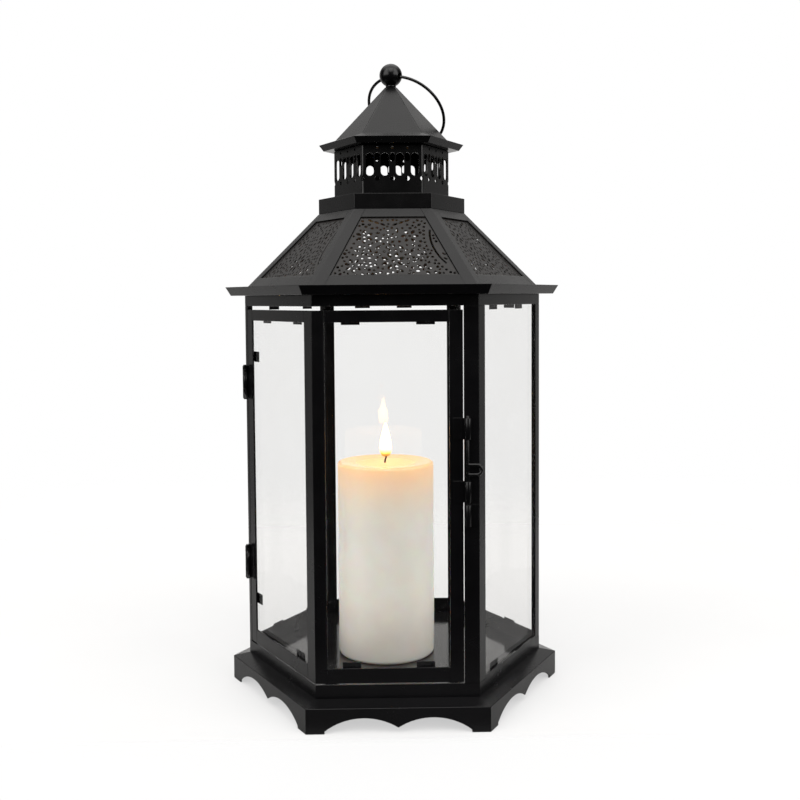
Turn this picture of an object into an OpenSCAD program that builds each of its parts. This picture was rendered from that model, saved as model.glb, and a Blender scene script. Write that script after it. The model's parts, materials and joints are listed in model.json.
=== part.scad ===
// Hexagonal metal lantern with a two-sided hinged door, pierced roof, cupola,
// ball finial with a hanging ring, and a pillar candle.
// Millimetres, +Z up, origin at the centre of the foot plane.
// Corners lie at 0, 60 ... 300 degrees. The door covers the sides whose
// outward normals point to 210 and 270 degrees.

/* [Base] */
// Circumradius of the base skirt
base_r = 128; // [122:1:132]
// Height of the vertical skirt
skirt_h = 17.9; // [14:0.1:19]
// Height of the base's flat top
base_h = 20.6; // [20:0.1:24]
// Height of the two arches cut in each skirt side
arch_rise = 10.9; // [6:0.1:13]
// Distance from the middle of a side to the top of each arch
arch_offset = 24; // [20:0.5:26]
// Height of the cusp where the two arches meet
cusp_h = 4; // [2:0.1:6]
// Half the span between the feet of one side
foot_inner = 51; // [46:0.5:56]

/* [Body] */
// Circumradius of the glazed body
body_r = 115; // [108:1:118]
// Top of the bottom frame ring
sill_top = 30.3; // [28:0.1:31]
// Underside of the top frame ring
header_bottom = 294.7; // [294:0.1:298]
// Top of the top frame ring, where the eave starts
header_top = 302.7; // [300:0.1:306]
// Sheet thickness of posts, rails and stiles
frame_t = 1.4; // [1:0.1:2]
// Width of each flange of an ordinary post
post_w = 8; // [6:0.5:12]
// Width of each flange of the post beside the latch
latch_post_w = 10.5; // [8:0.5:11]
// Width of the hinge post's flange on the door side
hinge_post_w = 4.2; // [3.8:0.1:5]
// Thickness of the glass
glass_t = 2; // [1.5:0.1:2.5]

/* [Door] */
// Underside of the door
door_bottom = 31.3; // [31:0.1:32.5]
// Top of the door
door_top = 291.9; // [288:0.1:293]
// Width of the stile at the hinges
hinge_stile_w = 9; // [7:0.5:11]
// Width of the stile at the latch
latch_stile_w = 9.5; // [8:0.5:11]
// Width of the corner post's flange on the hinge side
corner_w_left = 12; // [8:0.5:14]
// Width of the corner post's flange on the latch side
corner_w_front = 8.5; // [7:0.5:12]
// Height of the bottom rails
bottom_rail_h = 10.7; // [8:0.1:14]
// Height of the top rails
top_rail_h = 8.3; // [6:0.1:12]
// Gap between the latch stile and the fixed post
door_gap = 0.5; // [0.4:0.1:1]

/* [Hinges] */
// Height of each hinge
hinge_h = 25; // [20:1:30]
// Height of each hinge's lower end
hinge_z = [82, 223.3]; // [60:0.1:240]
// How far the hinge axis stands out from the side
hinge_proud = 2.3; // [2.2:0.1:3]
// Outer radius of the knuckles
knuckle_r = 2.1; // [1.8:0.1:2.1]
// Radius of the hinge pins
pin_r = 1; // [0.8:0.1:1.1]

/* [Latch] */
// Distance of the bolt's axis from the middle of the front side
bolt_s = 49.3; // [49:0.1:50]
// How far the bolt's axis stands out from the side
bolt_proud = 3; // [2.9:0.1:4]
// Radius of the bolt's wire
bolt_r = 1.1; // [0.9:0.1:1.2]
// Outer radius of the sleeves
sleeve_r = 2.4; // [2.1:0.1:2.5]
// Length of each sleeve
sleeve_h = 15; // [12:0.1:15.2]
// Lower ends of the keeper, the lower sleeve and the upper sleeve
sleeve_z = [142, 158.4, 202.3]; // [130:0.1:210]
// Lower end of the bolt when it is drawn clear of the keeper
bolt_tip = 157.5; // [157.2:0.1:158]
// Length of the bolt
bolt_l = 61.5; // [58:0.5:66]

/* [Roof] */
// Circumradius of the eave moulding at its widest
eave_r = 130.2; // [126:0.1:134]
// Circumradius where the eave moulding meets the body
eave_tuck_r = 126; // [122:0.1:128]
// Height of the eave's top ledge
eave_top = 309.4; // [308:0.1:312]
// Circumradius of the roof's lower edge
roof_low_r = 113; // [110:0.5:116]
// Circumradius of the roof's upper edge and of the collar
roof_top_r = 56.7; // [54:0.1:60]
// Height of the roof's upper edge
roof_top = 365.5; // [360:0.5:370]
// Width of the border along each hip
hip_w = 7.5; // [6:0.1:12]
// Width of the lower border, along the slope
lower_band_w = 9; // [6:0.1:11]
// Width of the upper border, along the slope
upper_band_w = 8.5; // [6:0.1:11]
// Thickness of the roof strips
roof_t = 1.2; // [1:0.1:1.5]
// Thickness of the pierced panels
filigree_t = 0.8; // [0.6:0.1:1]

/* [Cupola] */
// Top of the collar
collar_top = 376.8; // [374:0.1:380]
// Circumradius of the cupola wall
cupola_r = 44.6; // [42:0.1:46]
// Top of the cupola wall
cupola_top = 413.8; // [410:0.1:416]
// Circumradius of the cupola roof's lip
lip_r = 56; // [54:0.1:58]
// Height of the lip
lip_z = 418.3; // [417:0.1:420]
// Circumradius where the flare meets the cone
flare_r = 43.5; // [41:0.1:44]
// Height where the flare meets the cone
flare_z = 422; // [421:0.1:424]
// Height of the cone's tip, where the neck stands
tip_z = 462.4; // [460:0.1:463]

/* [Finial] */
// Radius of the ball
ball_r = 8.8; // [8:0.1:9]
// Height of the ball's centre
ball_z = 471.7; // [471.5:0.1:473]
// Radius of the ball's cross hole
ball_hole_r = 2.5; // [2.4:0.1:2.7]
// How far the cross hole lies below the ball's centre
ball_hole_drop = 1; // [0:0.1:1.2]
// Radius of the hanging ring, to the middle of its wire
bail_r = 32.1; // [28:0.1:32.5]
// Radius of the hanging ring's wire
bail_wire_r = 1.15; // [0.8:0.05:1.15]
// Direction in which the ring hangs
bail_azimuth = 56.1; // [50:0.1:57]
// Angle of the ring below the horizontal when it rests on the roof
bail_hang = 46.8; // [40:0.1:46.8]

/* [Candle] */
// Radius of the candle
candle_r = 38; // [30:0.5:38]
// Height of the candle
candle_h = 150.8; // [80:1:152]
// Sideways offset of the candle from the middle
candle_x = -6.5; // [-10:0.5:10]

/* [Hidden] */

$fn = 48;
ink = "#17171b";
roof_ink = "#2c2b30";
glass_tint = [0.75, 0.82, 0.85, 0.3];
sheet_t = 1.2;
reach = 2 * base_r;

// Outward normals of the six sides
sides = [30, 90, 150, 210, 270, 330];
corners = [0, 60, 120, 180, 240, 300];
fixed_sides = [30, 90, 150, 330];
hinge_side = 210;
latch_side = 270;

// Distance from the centre to a side of the hexagon of circumradius r
function apothem(r) = r * cos(30);
function unit(a) = [cos(a), sin(a)];

body_a = apothem(body_r);
half_side = body_r / 2;
corner_post_a = 240;
inner_body_a = body_a - frame_t;
pane_gap = 0.1;
pane_back = inner_body_a - pane_gap - glass_t;
floor_t = 0.6;
floor_top = base_h + floor_t;
// The sill's fixed sides carry a lip, whose top is the window's lower edge
sill_lip = 2.3;
opening_low = sill_top + sill_lip;
opening_high = header_bottom;

// Along-the-side positions of the door's edges, 0 in the middle of a side
hinge_s = hinge_post_w - half_side;
hinge_play = 0.3;
stile_s = hinge_s + hinge_play;
latch_edge_s = half_side - latch_post_w - door_gap;
left_open = [stile_s + hinge_stile_w, half_side - corner_w_left];
front_open = [corner_w_front - half_side, latch_edge_s - latch_stile_w];
rail_low_z = [door_bottom, door_bottom + bottom_rail_h];
rail_high_z = [door_top - top_rail_h, door_top];

roof_run = apothem(roof_low_r) - apothem(roof_top_r);
roof_rise = roof_top - eave_top;
roof_slope = atan2(roof_rise, roof_run);
slant = norm([roof_run, roof_rise]);
// Sideways shift of a hip per unit of slant
hip_shift = (roof_low_r - roof_top_r) / 2 / slant;

// ---------- helpers ----------

module hexagon(r, h) {
    cylinder(r = r, h = h, $fn = 6);
}

// Local x runs along a side, y runs up and z points outward from its face
module on_side(a, distance = body_a) {
    rotate([90, 0, a - 270]) translate([0, 0, distance]) children();
}

// One section, [distance to the side, height], carried round the hexagon
module mitred_ring(section) {
    rotate_extrude($fn = 6) polygon([for (p = section) [p[0] / cos(30), p[1]]]);
}

// Flat strip on a side between two positions and two heights
module strip(a, s, z, t = frame_t) {
    on_side(a, body_a - t) translate([s[0], z[0], 0]) cube([s[1] - s[0], z[1] - z[0], t]);
}

// Folded strip over the corner at a, with a flange on each neighbouring side
module folded_post(a, w_before, w_after, z, r = body_r, t = frame_t) {
    corner = [r, 0];
    before = corner + w_before * unit(240);
    after = corner + w_after * unit(120);
    rotate(a) translate([0, 0, z[0]]) linear_extrude(z[1] - z[0]) polygon([
        corner, before, before - t * unit(-30), [r - t / cos(30), 0], after - t * unit(30), after
    ]);
}

// Round-ended slot, standing along y
module slot(w, l) {
    steps = 6;
    polygon([
        for (end = [1, -1], i = [0 : steps])
            end * [w / 2 * cos(180 * i / steps), (l - w) / 2 + w / 2 * sin(180 * i / steps)]
    ]);
}

// Pointed oval outline, standing along y
module petal(w, l) {
    steps = 3;
    polygon([
        for (i = [-steps : steps]) [w / 2 * cos(90 * i / steps), l / 2 * i / steps],
        for (i = [-steps + 1 : steps - 1]) [-w / 2 * cos(90 * i / steps), -l / 2 * i / steps]
    ]);
}

// ---------- base ----------

module base_pan() {
    a_out = apothem(base_r);
    arch_r = (pow(arch_offset, 2) + pow(arch_rise - cusp_h, 2)) / (2 * (arch_rise - cusp_h));
    color(ink) difference() {
        mitred_ring([
            [a_out - sheet_t, 0], [a_out, 0], [a_out, skirt_h], [body_a, base_h], [0, base_h],
            [0, base_h - sheet_t], [body_a, base_h - sheet_t], [a_out - sheet_t, skirt_h - sheet_t]
        ]);
        for (a = sides) on_side(a, a_out - 2 * sheet_t) linear_extrude(3 * sheet_t) intersection() {
            for (side = [-1, 1]) translate([side * arch_offset, arch_rise - arch_r]) circle(arch_r, $fn = 96);
            translate([-foot_inner, -1]) square([2 * foot_inner, arch_rise + 2]);
        }
    }
}

module floor_plate() {
    edge_gap = 5;
    color("#101014") translate([0, 0, base_h]) hexagon(body_r - edge_gap, floor_t);
}

// ---------- fixed body frame ----------

module frame_ring(z) {
    mitred_ring([[inner_body_a, z[0]], [body_a, z[0]], [body_a, z[1]], [inner_body_a, z[1]]]);
}

// Flange widths of each fixed post: before and after its corner
function post_flanges(a) =
    a == 180 ? [post_w, hinge_post_w] : a == 300 ? [latch_post_w, latch_post_w] : [post_w, post_w];

module sill_ring() {
    color(ink) {
        frame_ring([base_h, sill_top]);
        for (a = fixed_sides) {
            s_low = post_flanges(a - 30)[1] - half_side;
            s_high = half_side - post_flanges(a + 30)[0];
            strip(a, [s_low, s_high], [sill_top, opening_low]);
        }
    }
}

module header_ring() {
    color(ink) frame_ring([header_bottom, header_top]);
}

module fixed_post(a) {
    w = post_flanges(a);
    color(ink) folded_post(a, w[0], w[1], [sill_top, header_bottom]);
}

// ---------- glass and the tabs that hold it ----------

module pane(a, s, z) {
    color(glass_tint) on_side(a, pane_back) translate([s[0], z[0], 0])
        cube([s[1] - s[0], z[1] - z[0], glass_t]);
}

fixed_glass_z = [24, 300];

module fixed_pane(a) {
    corner_gap = 5.5;
    pane(a, [corner_gap - half_side, half_side - corner_gap], fixed_glass_z);
}

// Bent tab that reaches past the frame's edge at z by its cover, from below (1) or above (-1)
tab_w = 13;
tab_t = 0.7;
tab_cover = 3.2;
tab_play = 1;
module tab(a, s, edge_z, glass_edge_z, up, cover = tab_cover) {
    foot_z = glass_edge_z - up * tab_play;
    low = min(foot_z, edge_z + up * cover);
    high = max(foot_z, edge_z + up * cover);
    on_side(a, pane_back - tab_t) translate([s - tab_w / 2, 0, 0]) {
        translate([0, low, 0]) cube([tab_w, high - low, tab_t]);
        translate([0, up > 0 ? foot_z : foot_z - tab_t, 0])
            cube([tab_w, tab_t, inner_body_a - pane_back + tab_t]);
    }
}

module fixed_clips() {
    tab_s = [-24, 24];
    back_tab_s = [-12, 24.5];
    color(ink) for (a = fixed_sides, i = [0, 1]) {
        tab(a, tab_s[i], opening_low, fixed_glass_z[0], 1);
        tab(a, a == 90 ? back_tab_s[i] : tab_s[i], opening_high, fixed_glass_z[1], -1);
    }
}

// ---------- door ----------

rail_overhang = 3;
door_glass_z = [rail_low_z[0] + rail_overhang, rail_high_z[1] - rail_overhang];

module door_hinge_stile() {
    color(ink) strip(hinge_side, [stile_s, left_open[0]], [door_bottom, door_top]);
}

module door_corner_post() {
    color(ink) folded_post(corner_post_a, corner_w_left, corner_w_front, [door_bottom, door_top]);
}

module door_latch_stile() {
    color(ink) strip(latch_side, [front_open[1], latch_edge_s], [door_bottom, door_top]);
}

module door_rail(a, s, z) {
    color(ink) strip(a, s, z);
}

module door_pane(a, s) {
    margin = 5;
    pane(a, [s[0] - margin, s[1] + margin], door_glass_z);
}

// Tabs on both rails of each pane, and two on the hinge stile
module door_clips() {
    tab_s = 26;
    top_shift = 1;
    top_cover = 1.8;
    side_tab_z = [65.6, 255.6];
    side_tab_h = 8;
    side_tab_foot = 6.8;
    color(ink) {
        for (panel = [[hinge_side, left_open], [latch_side, front_open]]) {
            middle = (panel[1][0] + panel[1][1]) / 2;
            for (s = [middle - tab_s, middle + tab_s]) {
                tab(panel[0], s, rail_low_z[1], door_glass_z[0], 1);
                tab(panel[0], s + top_shift, rail_high_z[0], door_glass_z[1], -1, top_cover);
            }
        }
        for (z = side_tab_z) on_side(hinge_side, pane_back - tab_t) {
            translate([left_open[0] - side_tab_foot, z - side_tab_h / 2, 0]) {
                cube([side_tab_foot + tab_cover, side_tab_h, tab_t]);
                cube([tab_t, side_tab_h, inner_body_a - pane_back + tab_t]);
            }
        }
    }
}

// ---------- hinges ----------

hinge_run = 0.05;
knuckle_gap = 0.2;
knuckle_h = 7.5;
leaf_t = 0.8;

// Local z runs up the hinge axis from the lower end of each hinge; x runs along the side
module at_hinges() {
    for (z = hinge_z) rotate(hinge_side - 270) translate([hinge_s, -body_a - hinge_proud, z]) children();
}

module knuckle(z, bore_r) {
    translate([0, 0, z[0]]) difference() {
        cylinder(r = knuckle_r, h = z[1] - z[0]);
        translate([0, 0, -1]) cylinder(r = bore_r, h = z[1] - z[0] + 2);
    }
}

// Tongue that joins a knuckle to its leaf, to the side given by dir
module knuckle_tongue(z, dir, bore_r) {
    w = 3;
    difference() {
        translate([dir > 0 ? 0 : -w, hinge_proud - leaf_t, z[0]]) cube([w, leaf_t, z[1] - z[0]]);
        translate([0, 0, z[0] - 1]) cylinder(r = bore_r, h = z[1] - z[0] + 2);
    }
}

module hinge_leaves_door() {
    bore_r = pin_r + hinge_run;
    z = [knuckle_h + knuckle_gap, hinge_h - knuckle_h - knuckle_gap];
    leaf_s = [2.4, 8];
    color(ink) at_hinges() {
        knuckle(z, bore_r);
        knuckle_tongue(z, 1, bore_r);
        translate([leaf_s[0], hinge_proud - leaf_t, 0]) cube([leaf_s[1] - leaf_s[0], leaf_t, hinge_h]);
    }
}

module hinge_leaves_post() {
    bore_r = pin_r + hinge_run / 2;
    leaf_w = [9, hinge_post_w - 2];
    color(ink) {
        at_hinges() for (z = [[0, knuckle_h], [hinge_h - knuckle_h, hinge_h]]) {
            knuckle(z, bore_r);
            knuckle_tongue(z, -1, bore_r);
        }
        for (z = hinge_z)
            folded_post(180, leaf_w[0], leaf_w[1], [z, z + hinge_h], body_r + leaf_t / cos(30), leaf_t);
    }
}

module hinge_pins() {
    head_r = 1.6;
    head_h = 0.8;
    end = 0.1;
    color("#3a3a3f") at_hinges() {
        translate([0, 0, -end]) cylinder(r = pin_r, h = hinge_h + 2 * end);
        for (z = [-end - head_h, hinge_h + end]) translate([0, 0, z]) cylinder(r = head_r, h = head_h);
    }
}

// ---------- latch ----------

sleeve_bore_r = bolt_r + 0.1;

// Local z runs up the bolt's axis; x runs along the front side, y points inward
module at_bolt() {
    translate([bolt_s, -body_a - bolt_proud, 0]) children();
}

// Rolled sleeve with its flat leaf, which runs to leaf_end along the side
module sleeve(z, leaf_start, leaf_end, lift) {
    leaf = 1;
    at_bolt() difference() {
        union() {
            translate([0, 0, z]) cylinder(r = sleeve_r, h = sleeve_h);
            translate([leaf_start, bolt_proud - lift - leaf, z]) cube([leaf_end - leaf_start, leaf, sleeve_h]);
        }
        translate([0, 0, z - 1]) cylinder(r = sleeve_bore_r, h = sleeve_h + 2);
    }
}

module latch_sleeves() {
    edge = latch_edge_s - bolt_s;
    overlap = 2;
    pad_w = 7.3;
    pad_t = 1;
    pad_end = edge - 0.2;
    color(ink) for (i = [1, 2]) {
        sleeve(sleeve_z[i], edge - overlap, 0, bolt_proud - sleeve_r);
        at_bolt() translate([pad_end - pad_w, bolt_proud - pad_t, sleeve_z[i]]) cube([pad_w, pad_t, sleeve_h]);
    }
}

module latch_keeper() {
    corner_gap = 0.5;
    color(ink) sleeve(sleeve_z[0], 0, half_side - bolt_s - corner_gap, 0);
}

module latch_bolt() {
    loop_low = 178.1;
    loop_r = 3.4;
    leg = 6.2;
    color("#26262b") at_bolt() {
        translate([0, 0, bolt_tip]) cylinder(r = bolt_r, h = bolt_l);
        for (z = [loop_low, loop_low + 2 * loop_r])
            translate([0, 0, z]) rotate([0, 90, 0]) cylinder(r = bolt_r, h = leg);
        translate([leg, 0, loop_low + loop_r]) rotate([90, 0, 0]) rotate(-90)
            rotate_extrude(angle = 180) translate([loop_r, 0]) circle(bolt_r, $fn = 24);
    }
}

// ---------- main roof ----------

module eave_ring() {
    ledge = 2;
    root_a = inner_body_a - ledge;
    out_a = apothem(eave_r);
    tuck_a = apothem(eave_tuck_r);
    color(ink) mitred_ring([
        [root_a, header_top], [tuck_a, header_top], [out_a, eave_top], [root_a, eave_top],
        [root_a, eave_top - sheet_t], [out_a - 2, eave_top - sheet_t],
        [tuck_a - 0.8, header_top + sheet_t], [root_a, header_top + sheet_t]
    ]);
}

// Local x runs along a side, y runs up the slope and z points out of the roof
module on_slope(a) {
    rotate(a - 270) translate([0, -apothem(roof_low_r), eave_top]) rotate([roof_slope, 0, 0]) children();
}

// The roof's shell between two heights, with level edges
module roof_shell(z) {
    inset = roof_t / sin(roof_slope);
    run_out = roof_run / roof_rise;
    out_a = [for (h = z) apothem(roof_low_r) - (h - eave_top) * run_out];
    mitred_ring([
        [out_a[0] - inset, z[0]], [out_a[0], z[0]], [out_a[1], z[1]], [out_a[1] - inset, z[1]]
    ]);
}

// Upright slab over the hip at a, as wide as the hip's border on both sides of it
module hip_slab(a) {
    half = hip_w / cos(atan(hip_shift)) * sin(60);
    rotate(a) translate([0, -half, eave_top - 1]) cube([reach, 2 * half, roof_rise + 2]);
}

// Half width of a roof side at a distance up the slope, less a border
function slope_half(y, border) = roof_low_r / 2 - hip_shift * y - border / cos(atan(hip_shift));

// The roof's window, grown by extra all round
module window(extra = 0) {
    y_low = lower_band_w - extra;
    y_high = slant - upper_band_w + extra;
    polygon([
        [-slope_half(y_low, hip_w - extra), y_low], [slope_half(y_low, hip_w - extra), y_low],
        [slope_half(y_high, hip_w - extra), y_high], [-slope_half(y_high, hip_w - extra), y_high]
    ]);
}

module window_band(z) {
    color(roof_ink) difference() {
        roof_shell(z);
        for (a = corners) hip_slab(a);
    }
}

module roof_lower_band() {
    window_band([eave_top, eave_top + lower_band_w * sin(roof_slope)]);
}

module roof_upper_band() {
    window_band([roof_top - upper_band_w * sin(roof_slope), roof_top]);
}

// Folded strip over the hip at a
module roof_hip(a) {
    color(roof_ink) intersection() {
        roof_shell([eave_top, roof_top]);
        hip_slab(a);
    }
}

// Pattern of one pierced panel: a flower, a ring of dots, and sprays of leaves
module piercing() {
    flower_y = 20;
    petals = 8;
    dots = 20;
    translate([0, flower_y]) {
        for (i = [0 : petals - 1]) rotate(360 / petals * (i + 0.5)) translate([0, 6]) petal(2.6, 6);
        for (i = [0 : dots - 1]) rotate(360 / dots * i) translate([0, 11]) circle(1, $fn = 6);
    }
    for (side = [-1, 1]) {
        for (i = [0 : 8]) rotate(side * 8) translate([side * (18 + 0.12 * i * i), 12 + 4.4 * i])
            circle(1, $fn = 6);
        for (i = [0 : 3]) translate([side * (6 + 6.5 * i), 36 - 3 * i]) rotate(side * -35) petal(3, 8);
        for (i = [0 : 2]) translate([side * (4 + 7 * i), 47]) rotate(side * 25) petal(2.6, 7);
        for (i = [0 : 2]) translate([side * (4 + 5 * i), 56.5]) circle(1.1, $fn = 6);
        for (i = [0 : 3]) translate([side * (26 + 5 * i), 16]) rotate(side * 40) petal(2.6, 6);
    }
}

module filigree(a) {
    overlap = 3.5;
    play = 0.02;
    color("#3a3736") on_slope(a) translate([0, 0, -roof_t - play - filigree_t]) linear_extrude(filigree_t) difference() {
        window(overlap);
        intersection() {
            piercing();
            window(-1);
        }
    }
}

// ---------- collar and cupola ----------

module collar_ring() {
    out_a = apothem(roof_top_r);
    in_a = apothem(cupola_r) - 2 * sheet_t;
    color(roof_ink) mitred_ring([
        [out_a - sheet_t, roof_top], [out_a, roof_top], [out_a, collar_top], [in_a, collar_top],
        [in_a, collar_top - sheet_t], [out_a - sheet_t, collar_top - sheet_t]
    ]);
}

module cupola_wall() {
    wall_a = apothem(cupola_r);
    pitch = cupola_r / 4;
    slot_z = 399;
    slot_size = [6, 17];
    low_dot_z = 388.5;
    low_dot_r = 1.7;
    drop_z = 404.3;
    drop_size = [3.8, 6.6];
    vent_z = 411;
    vent_r = 1;
    color(roof_ink) difference() {
        mitred_ring([
            [wall_a - sheet_t, collar_top], [wall_a, collar_top],
            [wall_a, cupola_top], [wall_a - sheet_t, cupola_top]
        ]);
        for (a = sides) on_side(a, wall_a - 2 * sheet_t) linear_extrude(3 * sheet_t) {
            for (i = [-1.5 : 1 : 1.5]) translate([i * pitch, slot_z]) slot(slot_size[0], slot_size[1]);
            for (i = [-2 : 2]) translate([i * pitch, low_dot_z]) circle(low_dot_r, $fn = 6);
            for (i = [-1 : 1]) {
                translate([i * pitch, drop_z]) slot(drop_size[0], drop_size[1]);
                translate([i * pitch, vent_z]) circle(vent_r, $fn = 6);
            }
        }
    }
}

module cupola_roof() {
    stud_hole_a = 2.2;
    tip_t = 2.4;
    tip_r = 4.8;
    inner_a = apothem(cupola_r) - sheet_t;
    tuck_a = apothem(lip_r) - 3;
    section = [
        [inner_a, cupola_top], [tuck_a, cupola_top], [apothem(lip_r), lip_z],
        [apothem(flare_r), flare_z], [apothem(tip_r), tip_z],
        [stud_hole_a, tip_z], [stud_hole_a, tip_z - tip_t], [3.2, tip_z - tip_t],
        [apothem(flare_r) - 1.1, flare_z - 1], [apothem(lip_r) - 2.2, lip_z - 0.3],
        [tuck_a - 0.6, cupola_top + sheet_t], [inner_a, cupola_top + sheet_t]
    ];
    seam_w = 0.9;
    seam_depth = 0.4;
    hip = [flare_r - tip_r, tip_z - flare_z];
    color(roof_ink) difference() {
        mitred_ring(section);
        for (a = corners) rotate(a) translate([flare_r, 0, flare_z]) rotate([0, -atan2(hip[0], hip[1]), 0])
            translate([-seam_depth, -seam_w / 2, 0]) cube([2 * seam_depth, seam_w, norm(hip)]);
    }
}

// ---------- finial and hanging ring ----------

neck_r = 4;
neck_top = ball_z - sqrt(pow(ball_r, 2) - pow(neck_r, 2));
ball_hole_z = ball_z - ball_hole_drop;
stud_r = 2;
stud_l = 11;
nut_h = 3;
nut_z = tip_z - 9.5;

module finial_neck() {
    color(ink) {
        translate([0, 0, tip_z]) cylinder(r = neck_r, h = neck_top - tip_z);
        translate([0, 0, tip_z - stud_l]) cylinder(r = stud_r, h = stud_l);
    }
}

module finial_nut() {
    nut_r = 3.8;
    color("#6a6a6e") translate([0, 0, nut_z]) difference() {
        cylinder(r = nut_r, h = nut_h, $fn = 6);
        translate([0, 0, -1]) cylinder(r = stud_r + 0.02, h = nut_h + 2);
    }
}

module finial_ball() {
    color(ink) difference() {
        translate([0, 0, ball_z]) sphere(ball_r);
        translate([0, 0, ball_hole_z]) rotate([0, 90, bail_azimuth - 90]) translate([0, 0, -2 * ball_r])
            cylinder(r = ball_hole_r, h = 4 * ball_r);
        translate([-ball_r, -ball_r, neck_top - 10]) cube([2 * ball_r, 2 * ball_r, 10]);
    }
}

module bail_ring() {
    color("#26262b") translate([0, 0, ball_hole_z]) rotate([0, bail_hang, bail_azimuth])
        translate([bail_r, 0, 0]) rotate_extrude($fn = 96) translate([bail_r, 0]) circle(bail_wire_r, $fn = 24);
}

// ---------- candle ----------

wick_r = 0.8;
dish = 1.8;
bore_depth = 10;

module candle_wax() {
    edge = 3;
    dish_r = 26;
    color("#efe2c4") translate([candle_x, 0, floor_top]) difference() {
        rotate_extrude($fn = 96) {
            square([candle_r - edge, candle_h]);
            translate([0, edge]) square([candle_r, candle_h - 2 * edge]);
            for (z = [edge, candle_h - edge]) translate([candle_r - edge, z]) circle(edge);
        }
        translate([0, 0, candle_h - dish]) cylinder(r = dish_r, h = dish + 1, $fn = 96);
        translate([0, 0, candle_h - dish - bore_depth]) cylinder(r = wick_r + 0.1, h = 2 * bore_depth);
    }
}

module candle_wick() {
    wick_l = 16.4;
    color("#1c1713") translate([candle_x, 0, floor_top + candle_h - dish - bore_depth]) cylinder(r = wick_r, h = wick_l, $fn = 24);
}

base_pan();
floor_plate();
sill_ring();
header_ring();
fixed_post(180);  // post_hinge
fixed_post(120);  // post_back_left
fixed_post(60);  // post_back_right
fixed_post(0);  // post_right
fixed_post(300);  // post_latch
fixed_pane(150);  // pane_back_left
fixed_pane(90);  // pane_back
fixed_pane(30);  // pane_back_right
fixed_pane(330);  // pane_right
fixed_clips();
door_hinge_stile();
door_corner_post();
door_latch_stile();
door_rail(hinge_side, left_open, rail_high_z);  // door_top_rail_left
door_rail(latch_side, front_open, rail_high_z);  // door_top_rail_front
door_rail(hinge_side, left_open, rail_low_z);  // door_bottom_rail_left
door_rail(latch_side, front_open, rail_low_z);  // door_bottom_rail_front
door_pane(hinge_side, left_open);  // door_pane_left
door_pane(latch_side, front_open);  // door_pane_front
door_clips();
hinge_leaves_door();
hinge_leaves_post();
hinge_pins();
latch_sleeves();
latch_keeper();
latch_bolt();
eave_ring();
roof_lower_band();
roof_upper_band();
roof_hip(0);  // roof_hip_1
roof_hip(60);  // roof_hip_2
roof_hip(120);  // roof_hip_3
roof_hip(180);  // roof_hip_4
roof_hip(240);  // roof_hip_5
roof_hip(300);  // roof_hip_6
filigree(30);  // filigree_1
filigree(90);  // filigree_2
filigree(150);  // filigree_3
filigree(210);  // filigree_4
filigree(270);  // filigree_5
filigree(330);  // filigree_6
collar_ring();
cupola_wall();
cupola_roof();
finial_neck();
finial_nut();
finial_ball();
bail_ring();
candle_wax();
candle_wick();
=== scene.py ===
"""Looks of a hexagonal metal candle lantern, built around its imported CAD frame. Metres, +Z up."""

import json
import math
import random

import bmesh
import bpy
from mathutils import Matrix, Vector, noise


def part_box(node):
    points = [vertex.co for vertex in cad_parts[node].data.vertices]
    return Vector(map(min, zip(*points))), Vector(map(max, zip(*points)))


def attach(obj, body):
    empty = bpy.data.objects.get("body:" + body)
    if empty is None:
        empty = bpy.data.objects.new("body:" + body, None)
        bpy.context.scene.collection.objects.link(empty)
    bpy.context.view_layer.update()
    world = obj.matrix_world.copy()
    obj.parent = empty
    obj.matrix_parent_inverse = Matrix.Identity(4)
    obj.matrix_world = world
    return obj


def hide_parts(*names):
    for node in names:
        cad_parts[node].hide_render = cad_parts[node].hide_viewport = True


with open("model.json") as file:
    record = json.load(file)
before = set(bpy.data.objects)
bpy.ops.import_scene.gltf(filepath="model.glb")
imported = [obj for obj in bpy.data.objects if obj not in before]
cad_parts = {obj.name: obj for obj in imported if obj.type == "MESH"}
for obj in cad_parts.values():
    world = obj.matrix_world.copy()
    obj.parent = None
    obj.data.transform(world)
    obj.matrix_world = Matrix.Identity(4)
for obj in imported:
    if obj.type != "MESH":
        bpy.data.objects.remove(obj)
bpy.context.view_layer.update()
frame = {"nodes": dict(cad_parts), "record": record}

MM = 0.001
SIDES = (30, 90, 150, 210, 270, 330)
APOTHEM = math.cos(math.radians(30))
SEED = 11


def hex_side(azimuth, distance=0.0):
    """Matrix whose x runs along a side, y runs up and z points outward, at that distance from the axis."""
    turn = Matrix.Rotation(math.radians(azimuth - 270), 4, "Z")
    stand = Matrix.Rotation(math.radians(90), 4, "X")
    return turn @ stand @ Matrix.Translation((0, 0, distance))


# ---------------------------------------------------------------- camera, floor and light

def add_camera():
    """The camera stands where the viewing angle puts it, a little above the middle of the lantern."""
    target = Vector((0, 0, 0.256))
    distance = 0.8076
    azimuth, elevation, roll = math.radians(-1.055), math.radians(3.126), math.radians(-0.422)
    away = Vector((
        math.sin(azimuth) * math.cos(elevation),
        -math.cos(azimuth) * math.cos(elevation),
        math.sin(elevation),
    ))
    right = Vector((0, 0, 1)).cross(away).normalized()
    up = away.cross(right)
    tilted_right = right * math.cos(roll) + up * math.sin(roll)
    tilted_up = up * math.cos(roll) - right * math.sin(roll)
    rotation = Matrix((tilted_right, tilted_up, away)).transposed()
    data = bpy.data.cameras.new("camera")
    data.sensor_width = 36.0
    data.lens = 46.36
    data.shift_x = 0.0090
    data.shift_y = -0.0570
    data.clip_start = 0.01
    data.clip_end = 50.0
    camera = bpy.data.objects.new("camera", data)
    camera.matrix_world = Matrix.Translation(target + away * distance) @ rotation.to_4x4()
    bpy.context.scene.collection.objects.link(camera)
    bpy.context.scene.camera = camera


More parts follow.
